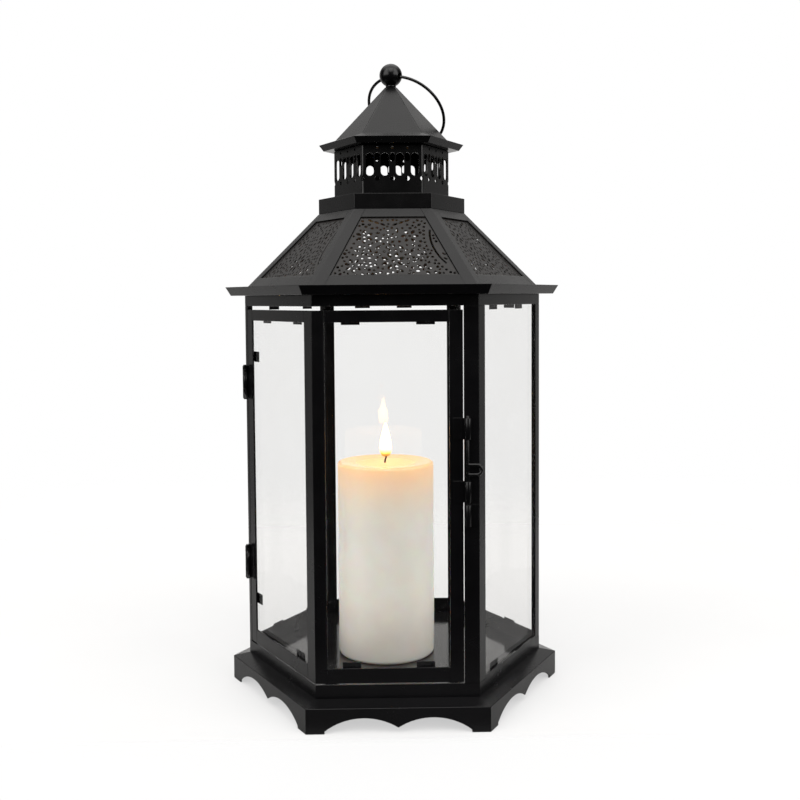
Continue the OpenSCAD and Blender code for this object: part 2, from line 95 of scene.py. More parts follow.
def link(name, mesh):
    obj = bpy.data.objects.new(name, mesh)
    bpy.context.scene.collection.objects.link(obj)
    return obj


def new_material(name):
    """An empty node material: (material, nodes, a function that links two sockets, its output node)."""
    material = bpy.data.materials.new(name)
    material.use_nodes = True
    tree = material.node_tree
    tree.nodes.clear()
    output = tree.nodes.new("ShaderNodeOutputMaterial")
    return material, tree.nodes, tree.links.new, output


def node(nodes, kind, **inputs):
    """A new node with the given attributes and inputs set. Keys in capitals are attributes."""
    made = nodes.new("ShaderNode" + kind)
    for key, value in inputs.items():
        if key.isupper():
            setattr(made, key.lower(), value)
        else:
            made.inputs[key.replace("_", " ")].default_value = value
    return made


def ramp(nodes, *stops):
    """A colour ramp through (place, colour) stops."""
    made = nodes.new("ShaderNodeValToRGB")
    elements = made.color_ramp.elements
    while len(elements) < len(stops):
        elements.new(0.5)
    for element, (place, colour) in zip(elements, stops):
        element.position = place
        element.color = (*colour, 1.0)
    return made


def grey(value):
    return (value, value, value)


def map_range(nodes, low, high, to_low, to_high, smooth=True):
    """A node that maps low..high to the other two values, eased at both ends unless it is not smooth."""
    made = node(nodes, "MapRange", INTERPOLATION_TYPE="SMOOTHSTEP" if smooth else "LINEAR")
    for socket, value in zip(("From Min", "From Max", "To Min", "To Max"), (low, high, to_low, to_high)):
        made.inputs[socket].default_value = value
    return made


def add_floor():
    """A pale table top that fades out into the white of the studio."""
    front, back, side = 0.235, 0.95, 0.75
    mesh = bpy.data.meshes.new("floor")
    corners = [(-side, -front, 0), (side, -front, 0), (side, back, 0), (-side, back, 0)]
    mesh.from_pydata(corners, [], [(0, 1, 2, 3)])
    floor = link("floor", mesh)
    material, nodes, join, output = new_material("pale_floor")
    place = node(nodes, "TexCoord")
    cloud = node(nodes, "TexNoise", Scale=3.0, Detail=3.0)
    join(place.outputs["Object"], cloud.inputs["Vector"])
    tone = ramp(nodes, (0.3, grey(0.61)), (0.7, grey(0.65)))
    join(cloud.outputs["Fac"], tone.inputs["Fac"])
    surface = node(nodes, "BsdfPrincipled", Roughness=0.6)
    surface.inputs["Specular IOR Level"].default_value = 0.1
    join(tone.outputs["Color"], surface.inputs["Base Color"])
    split = node(nodes, "SeparateXYZ")
    join(place.outputs["Object"], split.inputs["Vector"])
    across = node(nodes, "Math", OPERATION="ABSOLUTE")
    join(split.outputs["X"], across.inputs[0])
    fades = (
        (split.outputs["Y"], map_range(nodes, -front, -front + 0.012, 0.0, 0.45)),
        (split.outputs["Y"], map_range(nodes, -0.130, -0.112, 0.4, 1.0)),
        (split.outputs["Y"], map_range(nodes, 0.35, back, 1.0, 0.0)),
        (across.outputs["Value"], map_range(nodes, 0.4, side, 1.0, 0.0)),
    )
    cover = None
    for source, fade in fades:
        join(source, fade.inputs["Value"])
        if cover is None:
            cover = fade.outputs["Result"]
            continue
        both = node(nodes, "Math", OPERATION="MULTIPLY")
        join(cover, both.inputs[0])
        join(fade.outputs["Result"], both.inputs[1])
        cover = both.outputs["Value"]
    clear = node(nodes, "BsdfTransparent")
    faded = node(nodes, "MixShader")
    join(cover, faded.inputs["Fac"])
    join(clear.outputs["BSDF"], faded.inputs[1])
    join(surface.outputs["BSDF"], faded.inputs[2])
    join(faded.outputs["Shader"], output.inputs["Surface"])
    floor.data.materials.append(material)


def add_world():
    """A white studio: bright overhead and behind, soft boxes beside and above the viewer, else dark."""
    world = bpy.data.worlds.new("studio")
    bpy.context.scene.world = world
    world.use_nodes = True
    tree = world.node_tree
    tree.nodes.clear()
    nodes, join = tree.nodes, tree.links.new
    output = nodes.new("ShaderNodeOutputWorld")
    direction = node(nodes, "TexCoord")
    split = node(nodes, "SeparateXYZ")
    join(direction.outputs["Generated"], split.inputs["Vector"])
    across = node(nodes, "Math", OPERATION="ABSOLUTE")
    join(split.outputs["X"], across.inputs[0])
    x, y, z = across.outputs["Value"], split.outputs["Y"], split.outputs["Z"]

    def part(*bands):
        """Product of smooth bands, each (source, from, to, value at from, value at to)."""
        value = None
        for source, low, high, at_low, at_high in bands:
            band = map_range(nodes, low, high, at_low, at_high)
            join(source, band.inputs["Value"])
            if value is None:
                value = band.outputs["Result"]
                continue
            both = node(nodes, "Math", OPERATION="MULTIPLY")
            join(value, both.inputs[0])
            join(band.outputs["Result"], both.inputs[1])
            value = both.outputs["Value"]
        return value

    parts = (
        part((y, 0.3, 1.05, 0.03, 0.93), (z, 0.15, 0.5, 1.0, 0.7)),
        part((z, 0.5, 0.95, 0.0, 1.8)),
        part((x, 0.32, 0.55, 0.0, 3.4), (y, -0.32, -0.12, 1.0, 0.0), (z, -0.05, 0.1, 0.0, 1.0)),
        part((x, 0.2, 0.4, 2.8, 0.0), (y, -0.45, -0.25, 1.0, 0.0), (z, 0.4, 0.55, 0.0, 1.0)),
    )
    total = parts[0]
    for extra in parts[1:]:
        added = node(nodes, "Math", OPERATION="ADD")
        join(total, added.inputs[0])
        join(extra, added.inputs[1])
        total = added.outputs["Value"]
    light = node(nodes, "Background", Color=(1.0, 0.985, 0.97, 1))
    join(total, light.inputs["Strength"])
    seen = node(nodes, "Background", Color=(1, 1, 1, 1), Strength=1.0)
    path = node(nodes, "LightPath")
    choose = node(nodes, "MixShader")
    join(path.outputs["Is Camera Ray"], choose.inputs["Fac"])
    join(light.outputs["Background"], choose.inputs[1])
    join(seen.outputs["Background"], choose.inputs[2])
    join(choose.outputs["Shader"], output.inputs["Surface"])


# ---------------------------------------------------------------- materials

def painted_metal(name, base, roughness, fleck=0.5, warmth=(1.0, 1.0, 1.0), bump=0.12, specular=0.34):
    """Satin black paint on sheet steel: a fine powder-coat texture, faint blotches, slightly uneven gloss."""
    material, nodes, join, output = new_material(name)
    place = node(nodes, "TexCoord")
    grain = node(nodes, "TexNoise", Scale=1900.0, Detail=3.0, Roughness=0.6)
    blotch = node(nodes, "TexNoise", Scale=26.0, Detail=5.0, Roughness=0.62)
    gloss = node(nodes, "TexNoise", Scale=60.0, Detail=3.0, Roughness=0.5)
    for target in (grain, blotch, gloss):
        join(place.outputs["Object"], target.inputs["Vector"])
    dark = tuple(base * w * 0.72 for w in warmth)
    light = tuple(base * w * 1.45 for w in warmth)
    tone = ramp(nodes, (0.32, dark), (0.72, light))
    join(blotch.outputs["Fac"], tone.inputs["Fac"])
    specks = ramp(nodes, (0.66, grey(0.0)), (0.78, grey(fleck)))
    join(grain.outputs["Fac"], specks.inputs["Fac"])
    lift = node(nodes, "MixRGB", BLEND_TYPE="ADD")
    join(specks.outputs["Color"], lift.inputs["Fac"])
    join(tone.outputs["Color"], lift.inputs["Color1"])
    lift.inputs["Color2"].default_value = (*(base * w for w in warmth), 1)
    dull = ramp(nodes, (0.3, grey(roughness - 0.03)), (0.75, grey(roughness + 0.05)))
    join(gloss.outputs["Fac"], dull.inputs["Fac"])
    relief = node(nodes, "Bump", Strength=bump, Distance=0.00012)
    join(grain.outputs["Fac"], relief.inputs["Height"])
    surface = node(nodes, "BsdfPrincipled")
    surface.inputs["Specular IOR Level"].default_value = specular
    join(lift.outputs["Color"], surface.inputs["Base Color"])
    join(dull.outputs["Color"], surface.inputs["Roughness"])
    join(relief.outputs["Normal"], surface.inputs["Normal"])
    join(surface.outputs["BSDF"], output.inputs["Surface"])
    return material


def plain_steel(name):
    material, nodes, join, output = new_material(name)
    place = node(nodes, "TexCoord")
    brushed = node(nodes, "TexNoise", Scale=700.0, Detail=4.0)
    join(place.outputs["Object"], brushed.inputs["Vector"])
    dull = ramp(nodes, (0.3, grey(0.28)), (0.7, grey(0.5)))
    join(brushed.outputs["Fac"], dull.inputs["Fac"])
    tone = ramp(nodes, (0.3, (0.36, 0.36, 0.37)), (0.7, (0.5, 0.5, 0.5)))
    join(brushed.outputs["Fac"], tone.inputs["Fac"])
    surface = node(nodes, "BsdfPrincipled", Metallic=1.0)
    join(tone.outputs["Color"], surface.inputs["Base Color"])
    join(dull.outputs["Color"], surface.inputs["Roughness"])
    join(surface.outputs["BSDF"], output.inputs["Surface"])
    return material


def window_glass(name):
    """Thin clear glass: seen straight through, with a mirror film that grows towards grazing angles."""
    material, nodes, join, output = new_material(name)
    place = node(nodes, "TexCoord")
    smear = node(nodes, "TexNoise", Scale=14.0, Detail=5.0, Roughness=0.6, Distortion=0.8)
    join(place.outputs["Object"], smear.inputs["Vector"])
    tint = ramp(nodes, (0.35, (0.981, 0.980, 0.977)), (0.75, (0.989, 0.989, 0.987)))
    join(smear.outputs["Fac"], tint.inputs["Fac"])
    haze = ramp(nodes, (0.4, grey(0.0)), (0.8, grey(0.012)))
    join(smear.outputs["Fac"], haze.inputs["Fac"])
    facing = node(nodes, "LayerWeight", Blend=0.5)
    edge = node(nodes, "Math", OPERATION="POWER")
    edge.inputs[1].default_value = 5.0
    join(facing.outputs["Facing"], edge.inputs[0])
    mirror_share = map_range(nodes, 0.0, 1.0, 0.026, 0.4, smooth=False)
    join(edge.outputs["Value"], mirror_share.inputs["Value"])
    clear = node(nodes, "BsdfTransparent")
    join(tint.outputs["Color"], clear.inputs["Color"])
    mirror = node(nodes, "BsdfGlossy", Color=(1, 1, 1, 1))
    join(haze.outputs["Color"], mirror.inputs["Roughness"])
    film = node(nodes, "MixShader")
    join(mirror_share.outputs["Result"], film.inputs["Fac"])
    join(clear.outputs["BSDF"], film.inputs[1])
    join(mirror.outputs["BSDF"], film.inputs[2])
    join(film.outputs["Shader"], output.inputs["Surface"])
    return material


def candle_wax(name, low_z, top_z, glow_depth):
    """Ivory wax with painted shade darkening its foot, a painted orange glow where the flame shines into it,
    and wet on the melted part.
    """
    material, nodes, join, output = new_material(name)
    place = node(nodes, "TexCoord")
    mottle = node(nodes, "TexNoise", Scale=55.0, Detail=5.0, Roughness=0.6)
    pores = node(nodes, "TexNoise", Scale=420.0, Detail=3.0)
    join(place.outputs["Object"], mottle.inputs["Vector"])
    join(place.outputs["Object"], pores.inputs["Vector"])
    tone = ramp(nodes, (0.3, (0.93, 0.885, 0.80)), (0.7, (0.98, 0.945, 0.875)))
    join(mottle.outputs["Fac"], tone.inputs["Fac"])
    split = node(nodes, "SeparateXYZ")
    join(place.outputs["Object"], split.inputs["Vector"])
    # painted glow: near the top the wax colour is tinted orange and made to emit, standing in for the flame's
    # light shining into it
    near_top = map_range(nodes, top_z - glow_depth, top_z + 2 * MM, 0.0, 1.0, smooth=False)
    join(split.outputs["Z"], near_top.inputs["Value"])
    glow = node(nodes, "Math", OPERATION="POWER")
    glow.inputs[1].default_value = 2.2
    join(near_top.outputs["Result"], glow.inputs[0])
    warmed = node(nodes, "MixRGB", BLEND_TYPE="MIX")
    join(glow.outputs["Value"], warmed.inputs["Fac"])
    # painted shade: the wax colour is multiplied darker towards the foot, standing in for the shade that falls
    # there
    foot_shade = map_range(nodes, low_z, low_z + 60 * MM, 0.66, 1.0)
    join(split.outputs["Z"], foot_shade.inputs["Value"])
    foot_shaded = node(nodes, "MixRGB", BLEND_TYPE="MULTIPLY", Fac=1.0)
    join(tone.outputs["Color"], foot_shaded.inputs["Color1"])
    join(foot_shade.outputs["Result"], foot_shaded.inputs["Color2"])
    join(foot_shaded.outputs["Color"], warmed.inputs["Color1"])
    warmed.inputs["Color2"].default_value = (0.90, 0.62, 0.35, 1)
    glow_power = node(nodes, "Math", OPERATION="MULTIPLY")
    glow_power.inputs[1].default_value = 0.42
    join(glow.outputs["Value"], glow_power.inputs[0])
    relief = node(nodes, "Bump", Strength=0.18, Distance=0.0004)
    join(pores.outputs["Fac"], relief.inputs["Height"])
    wet = map_range(nodes, top_z - 2.2 * MM, top_z - 0.3 * MM, 0.45, 0.12)
    join(split.outputs["Z"], wet.inputs["Value"])
    surface = node(nodes, "BsdfPrincipled")
    surface.inputs["Subsurface Weight"].default_value = 0.6
    surface.inputs["Subsurface Radius"].default_value = (0.012, 0.007, 0.004)
    surface.inputs["Subsurface Scale"].default_value = 1.0
    # emission colour of the painted glow
    surface.inputs["Emission Color"].default_value = (1.0, 0.54, 0.22, 1)
    join(wet.outputs["Result"], surface.inputs["Roughness"])
    join(warmed.outputs["Color"], surface.inputs["Base Color"])
    join(glow_power.outputs["Value"], surface.inputs["Emission Strength"])
    join(relief.outputs["Normal"], surface.inputs["Normal"])
    join(surface.outputs["BSDF"], output.inputs["Surface"])
    return material


def charred_wick(name):
    material, nodes, join, output = new_material(name)
    place = node(nodes, "TexCoord")
    fibre = node(nodes, "TexNoise", Scale=1500.0, Detail=3.0)
    join(place.outputs["Object"], fibre.inputs["Vector"])
    tone = ramp(nodes, (0.35, (0.010, 0.008, 0.006)), (0.7, (0.06, 0.035, 0.02)))
    join(fibre.outputs["Fac"], tone.inputs["Fac"])
    relief = node(nodes, "Bump", Strength=0.5, Distance=0.0003)
    join(fibre.outputs["Fac"], relief.inputs["Height"])
    surface = node(nodes, "BsdfPrincipled", Roughness=0.9)
    join(tone.outputs["Color"], surface.inputs["Base Color"])
    join(relief.outputs["Normal"], surface.inputs["Normal"])
    join(surface.outputs["BSDF"], output.inputs["Surface"])
    return material


def flame_glow(name, low_z, high_z):
    """A candle flame: faint and bluish at the wick, orange at its rim, white-yellow in its body."""
    material, nodes, join, output = new_material(name)
    place = node(nodes, "TexCoord")
    split = node(nodes, "SeparateXYZ")
    join(place.outputs["Object"], split.inputs["Vector"])
    height = map_range(nodes, low_z, high_z, 0.0, 1.0, smooth=False)
    join(split.outputs["Z"], height.inputs["Value"])
    flicker = node(nodes, "TexNoise", Scale=160.0, Detail=2.0)
    join(place.outputs["Object"], flicker.inputs["Vector"])
    jitter = map_range(nodes, 0.0, 1.0, -0.04, 0.04, smooth=False)
    join(flicker.outputs["Fac"], jitter.inputs["Value"])
    climb = node(nodes, "Math", OPERATION="ADD")
    join(height.outputs["Result"], climb.inputs[0])
    join(jitter.outputs["Result"], climb.inputs[1])
    tone = ramp(
        nodes, (0.0, (1.0, 0.40, 0.06)), (0.2, (1.0, 0.50, 0.12)), (0.5, (1.0, 0.56, 0.17)),
        (0.85, (1.0, 0.52, 0.14)), (1.0, (1.0, 0.42, 0.08)),
    )
    join(climb.outputs["Value"], tone.inputs["Fac"])
    power = ramp(
        nodes, (0.0, grey(0.015)), (0.1, grey(0.1)), (0.3, grey(0.9)), (0.7, grey(1.0)), (1.0, grey(0.5)),
    )
    join(climb.outputs["Value"], power.inputs["Fac"])
    strength = node(nodes, "Math", OPERATION="MULTIPLY")
    strength.inputs[1].default_value = 16.0
    join(power.outputs["Color"], strength.inputs[0])
    light = node(nodes, "Emission")
    join(tone.outputs["Color"], light.inputs["Color"])
    join(strength.outputs["Value"], light.inputs["Strength"])
    clear = node(nodes, "BsdfTransparent")
    facing = node(nodes, "LayerWeight", Blend=0.35)
    veil = ramp(nodes, (0.0, grey(1.0)), (0.7, grey(0.8)), (1.0, grey(0.02)))
    join(facing.outputs["Facing"], veil.inputs["Fac"])
    soft = node(nodes, "MixShader")
    join(veil.outputs["Color"], soft.inputs["Fac"])
    join(clear.outputs["BSDF"], soft.inputs[1])
    join(light.outputs["Emission"], soft.inputs[2])
    join(soft.outputs["Shader"], output.inputs["Surface"])
    return material


# ---------------------------------------------------------------- pierced sheet

def dot(x, y, radius, steps=14):
    return [
        (x + radius * math.cos(2 * math.pi * i / steps), y + radius * math.sin(2 * math.pi * i / steps))
        for i in range(steps)
    ]


def petal(x, y, width, length, turn, steps=7):
    """A pointed oval hole round (x, y), its length turned by `turn` degrees from +y."""
    half = [
        (width / 2 * math.cos(math.pi / 2 * i / steps) ** 0.8, length / 2 * i / steps)
        for i in range(-steps, steps + 1)
    ]
    outline = half + [(-px, -py) for px, py in half[1:-1]]
    c, s = math.cos(math.radians(turn)), math.sin(math.radians(turn))
    return [(x + c * px - s * py, y + s * px + c * py) for px, py in outline]


def long_slot(x, y, width, length, steps=7):
    """A round-ended slot standing along y."""
    r, reach_y = width / 2, (length - width) / 2
    turns = [math.pi * i / steps for i in range(steps + 1)]
    top = [(x + r * math.cos(a), y + reach_y + r * math.sin(a)) for a in turns]
    return top + [(x - r * math.cos(a), y - reach_y - r * math.sin(a)) for a in turns]


def arc_slot(cx, cy, radius, start, end, width, steps=12):
    """A slot of constant width along an arc between two angles in degrees."""
    angles = [math.radians(start + (end - start) * i / steps) for i in range(steps + 1)]
    wide, narrow = radius + width / 2, radius - width / 2
    outer = [(cx + wide * math.cos(a), cy + wide * math.sin(a)) for a in angles]
    inner = [(cx + narrow * math.cos(a), cy + narrow * math.sin(a)) for a in angles]
    return outer + inner[::-1]


def pierced_mesh(name, outline, holes, thickness):
    """A flat sheet in the x-y plane, its outer face at z = 0, with the holes cut through it."""
    curve = bpy.data.curves.new(name + "_outline", "CURVE")
    curve.dimensions = "2D"
    curve.fill_mode = "BOTH"
    curve.extrude = thickness / 2
    for loop in [outline] + holes:
        spline = curve.splines.new("POLY")
        spline.points.add(len(loop) - 1)
        for point, (x, y) in zip(spline.points, loop):
            point.co = (x, y, 0, 1)
        spline.use_cyclic_u = True
    holder = link(name + "_outline", curve)
    evaluated = holder.evaluated_get(bpy.context.evaluated_depsgraph_get())
    mesh = bpy.data.meshes.new_from_object(evaluated)
    bpy.data.objects.remove(holder)
    bpy.data.curves.remove(curve)
    mesh.name = name
    mesh.transform(Matrix.Translation((0, 0, -thickness / 2)))
    build = bmesh.new()
    build.from_mesh(mesh)
    bmesh.ops.remove_doubles(build, verts=build.verts, dist=2e-6)
    bmesh.ops.recalc_face_normals(build, faces=build.faces)
    build.to_mesh(mesh)
    build.free()
    return mesh


class Roof:
    """Sizes of the main roof, read from the frame."""
    low_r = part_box("roof_hip_1")[1][0]
    low_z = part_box("roof_hip_1")[0][2]
    top_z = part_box("roof_hip_1")[1][2]
    top_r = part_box("collar_ring")[1][0]
    run = (low_r - top_r) * APOTHEM
    slope = math.atan2(top_z - low_z, run)
    slant = math.hypot(top_z - low_z, run)
    shift = (low_r - top_r) / 2 / slant
    sheet = 1.2 * MM

    @classmethod
    def side(cls, azimuth, lift=0.0):
        """Matrix whose x runs along the eave, y runs up the slope and z points out of the roof."""
        turn = Matrix.Rotation(math.radians(azimuth - 270), 4, "Z")
        place = Matrix.Translation((0, -cls.low_r * APOTHEM, cls.low_z))
        return turn @ place @ Matrix.Rotation(cls.slope, 4, "X") @ Matrix.Translation((0, 0, lift))

    @classmethod
    def half_width(cls, y, border):
        return cls.low_r / 2 - cls.shift * y - border * math.hypot(1, cls.shift)


def flower(x, y, radius, petals, width, length, start=0.0):
    """Petal holes set round a centre, and a dot in the middle."""
    holes = [dot(x, y, width * 0.42)]
    for i in range(petals):
        a = start + 360 / petals * i
        px = x + radius * math.cos(math.radians(a))
        py = y + radius * math.sin(math.radians(a))
        holes.append(petal(px, py, width, length, a - 90))
    return holes


def filigree_holes(inside):
    """One roof window's pattern, in millimetres: flowers, a beaded arc with a slot, sprays, dots between."""
    holes = flower(-0.9, 23.2, 6.1, 8, 3.1, 5.9, 22.5)
    holes += flower(-21.0, 47.0, 4.6, 6, 2.8, 4.8, 30)
    holes += flower(11.5, 47.5, 4.5, 6, 2.7, 4.6, 0)
    holes += flower(-28.5, 19.0, 4.7, 7, 2.5, 4.6, 10)
    holes += flower(20.5, 15.0, 4.2, 6, 2.5, 4.3, 15)
    arc_x, arc_y, bead_r, slot_r = 70.0, 49.6, 48.5, 44.1
    for i in range(15):
        a = math.radians(167.4 + 4.5 * i)
        holes.append(dot(arc_x + bead_r * math.cos(a), arc_y + bead_r * math.sin(a), 1.1))
    holes.append(arc_slot(arc_x, arc_y, slot_r, 174.5, 221.0, 1.6))
    for i in range(5):
        holes.append(petal(33.5 + 0.9 * i, 39.0 - 4.6 * i, 1.9, 3.6, 55))
    for i in range(8):
        a = math.radians(360 / 16 * (i - 0.5))
        holes.append(dot(-0.9 + 10.9 * math.cos(a), 23.2 + 10.9 * math.sin(a), 1.1))
    for side in (-1, 1):
        for i in range(3):
            holes.append(petal(side * (4.4 + 4.4 * i) - 3.2, 59.2 + 1.9 * i, 2.2, 4.8, side * -58))
        holes.append(petal(side * 8.2 - 3.0, 36.5, 2.4, 5.4, side * 48))
        holes.append(petal(side * 15.0 - 2.0, 33.5, 2.2, 4.8, side * -30))
    holes.append(petal(2.6, 53.0, 2.0, 5.6, 0))
    for i in range(10):
        holes.append(dot(-38.2 + 1.62 * i, 14.5 + 4.3 * i, 1.05))
    placed = [(sum(p[0] for p in h) / len(h), sum(p[1] for p in h) / len(h), reach(h)) for h in holes]
    draw = random.Random(SEED)
    for _ in range(14000):
        x, y = draw.uniform(-46, 46), draw.uniform(8, 68)
        long_hole = draw.random() < 0.4
        length = draw.uniform(3.0, 4.2) if long_hole else 0.0
        radius = length / 2 if long_hole else draw.uniform(0.95, 1.35)
        turn = draw.uniform(0, 180)
        near_slot = abs(math.hypot(x - arc_x, y - arc_y) - slot_r) < radius + 1.3
        if near_slot or not inside(x, y, radius + 0.7):
            continue
        if any(math.hypot(x - px, y - py) < radius + pr + 0.5 for px, py, pr in placed if pr < 12):
            continue
        placed.append((x, y, radius))
        holes.append(petal(x, y, 2.2, length, turn) if long_hole else dot(x, y, radius, 12))
    kept = []
    for hole in holes:
        if all(inside(px, py, 0.5) for px, py in hole) and all(apart(hole, other, 0.28) for other in kept):
            kept.append(hole)
    return kept


def apart(loop, other, gap):
    """True if no corner of either hole comes nearer than the gap to the other's outline, nor lies in it."""
    def middle(points):
        return sum(p[0] for p in points) / len(points), sum(p[1] for p in points) / len(points)

    (ax, ay), (bx, by) = middle(loop), middle(other)
    if math.hypot(ax - bx, ay - by) > reach(loop) + reach(other) + gap:
        return True
    for points, outline in ((loop, other), (other, loop)):
        for px, py in points:
            crossings = 0
            for (x0, y0), (x1, y1) in zip(outline, outline[1:] + outline[:1]):
                squared = (x1 - x0) ** 2 + (y1 - y0) ** 2
                along = (px - x0) * (x1 - x0) + (py - y0) * (y1 - y0)
                t = max(0.0, min(1.0, along / squared)) if squared else 0.0
                if math.hypot(px - x0 - t * (x1 - x0), py - y0 - t * (y1 - y0)) < gap:
                    return False
                if (y0 > py) != (y1 > py) and px < x0 + (py - y0) * (x1 - x0) / (y1 - y0):
                    crossings += 1
            if crossings % 2:
                return False
    return True


def reach(loop):
    """Distance from a hole's middle to its farthest point."""
    cx, cy = sum(p[0] for p in loop) / len(loop), sum(p[1] for p in loop) / len(loop)
    return max(math.hypot(x - cx, y - cy) for x, y in loop)


def add_filigree(materials):
    """Six identical pierced panels, each behind its window in the main roof."""
    border, low, high, lap = 7.5 * MM, 9.0 * MM, 8.5 * MM, 3.5 * MM
    y0, y1 = low - lap, Roof.slant - high + lap
    outline = [
        (-Roof.half_width(y0, border - lap), y0), (Roof.half_width(y0, border - lap), y0),
        (Roof.half_width(y1, border - lap), y1), (-Roof.half_width(y1, border - lap), y1),
    ]

    def inside(x, y, margin):
        in_height = low + margin * MM < y * MM < Roof.slant - high - margin * MM
        return in_height and abs(x) * MM < Roof.half_width(y * MM, border + margin * MM)

    holes = [[(x * MM, y * MM) for x, y in loop] for loop in filigree_holes(inside)]
    thickness = 0.8 * MM
    for number, azimuth in enumerate(SIDES, 1):
        mesh = pierced_mesh(f"pierced_panel_{number}", outline, holes, thickness)
        mesh.transform(Roof.side(azimuth, -Roof.sheet))
        panel = link(f"pierced_panel_{number}", mesh)
        panel.data.materials.append(materials["pierced_metal"])
        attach(panel, "lantern")
        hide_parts(f"filigree_{number}")


def add_cupola_wall(materials):
    """The cupola's six-sided wall with its slots and dots, one closed ring."""
    low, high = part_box("cupola_wall")
    radius, thickness = high[0], 1.2 * MM
    half, pitch = radius / 2, radius / 4
    slot_z, drop_z, vent_z, lower_z = 399 * MM, 404.3 * MM, 411 * MM, 388.5 * MM
    notch_r = 1.7 * MM
    steps = 8

    def notch(sign, rising):
        angles = [math.pi * (i / steps - 0.5) for i in range(steps + 1)]
        arc = [(sign * (half - notch_r * math.cos(a)), lower_z + notch_r * math.sin(a)) for a in angles]
        return arc if rising else arc[::-1]

    outline = [(-half, low[2]), (half, low[2])] + notch(1, True) + [(half, high[2]), (-half, high[2])]
    outline += notch(-1, False)
    holes = [long_slot(pitch * (i - 1.5), slot_z, 6 * MM, 17 * MM) for i in range(4)]
    for i in (-1, 0, 1):
        holes.append(long_slot(pitch * i, drop_z, 3.8 * MM, 6.6 * MM))
        holes.append(dot(pitch * i, vent_z, 1.0 * MM, 12))
        holes.append(dot(pitch * i, lower_z, notch_r, 18))
    whole = bmesh.new()
    for azimuth in SIDES:
        mesh = pierced_mesh("cupola_side", outline, holes, thickness)
        side = bmesh.new()
        side.from_mesh(mesh)
        side.normal_update()
        across = [f for f in side.faces if abs(f.normal.x) > 0.9]
        ends = [f for f in across if all(abs(abs(v.co.x) - half) < 1e-6 for v in f.verts)]
        bmesh.ops.delete(side, geom=ends, context="FACES_ONLY")
        for vert in side.verts:
            limit = half + vert.co.z * math.tan(math.radians(30))
            vert.co.x = max(-limit, min(limit, vert.co.x))
        side.to_mesh(mesh)
        side.free()
        mesh.transform(hex_side(azimuth, radius * APOTHEM))
        whole.from_mesh(mesh)
        bpy.data.meshes.remove(mesh)
    bmesh.ops.remove_doubles(whole, verts=whole.verts, dist=2e-6)
    bmesh.ops.recalc_face_normals(whole, faces=whole.faces)
    rounded = whole.edges.layers.float.new("bevel_weight_edge")
    for edge in whole.edges:
        at_corner = all(abs(math.hypot(v.co.x, v.co.y) - radius) < 0.02 * MM for v in edge.verts)
        if at_corner and edge.calc_face_angle(0.0) > math.radians(40):
            edge[rounded] = 1.0
    mesh = bpy.data.meshes.new("pierced_cupola")
    whole.to_mesh(mesh)
    whole.free()
    wall = link("pierced_cupola", mesh)
    fold = wall.modifiers.new("folds", "BEVEL")
    fold.width = 1.0 * MM
    fold.segments = 3
    fold.limit_method = "WEIGHT"
    fold.harden_normals = True
    wall.data.materials.append(materials["roof_metal"])
    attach(wall, "lantern")
    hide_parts("cupola_wall")


# ---------------------------------------------------------------- candle

def revolve(name, profile, centre, segments=96, wobble=0.0):
    """A solid of revolution from (radius, height) points that start and end on the axis, gently uneven."""
    build = bmesh.new()
    rings = []
    for radius, height in profile:
        if radius == 0:
            rings.append([build.verts.new((centre[0], centre[1], height))])
            continue
        ring = []
        for i in range(segments):
            a = 2 * math.pi * i / segments
            point = Vector((math.cos(a) * radius, math.sin(a) * radius, height))
            sway = wobble * (noise.noise(point * 28) + 0.5 * noise.noise(point * 75)) * min(1.0, radius / 0.02)
            shrunk = radius - abs(wobble) + sway
            x, y = centre[0] + math.cos(a) * shrunk, centre[1] + math.sin(a) * shrunk
            ring.append(build.verts.new((x, y, height)))
        rings.append(ring)
    for below, above in zip(rings, rings[1:]):
        for i in range(segments):
            j = (i + 1) % segments
            if len(below) == 1:
                build.faces.new((below[0], above[j], above[i]))
            elif len(above) == 1:
                build.faces.new((below[i], below[j], above[0]))
            else:
                build.faces.new((below[i], below[j], above[j], above[i]))
    bmesh.ops.recalc_face_normals(build, faces=build.faces)
    mesh = bpy.data.meshes.new(name)
    build.to_mesh(mesh)
    build.free()
    for polygon in mesh.polygons:
        polygon.use_smooth = True
    return link(name, mesh)


def arc_points(cx, cz, radius, start, end, steps):
    """Points of an arc in a profile, angles in degrees from the outward direction."""
    for i in range(steps + 1):
        a = math.radians(start + (end - start) * i / steps)
        yield (cx + radius * math.cos(a), cz + radius * math.sin(a))


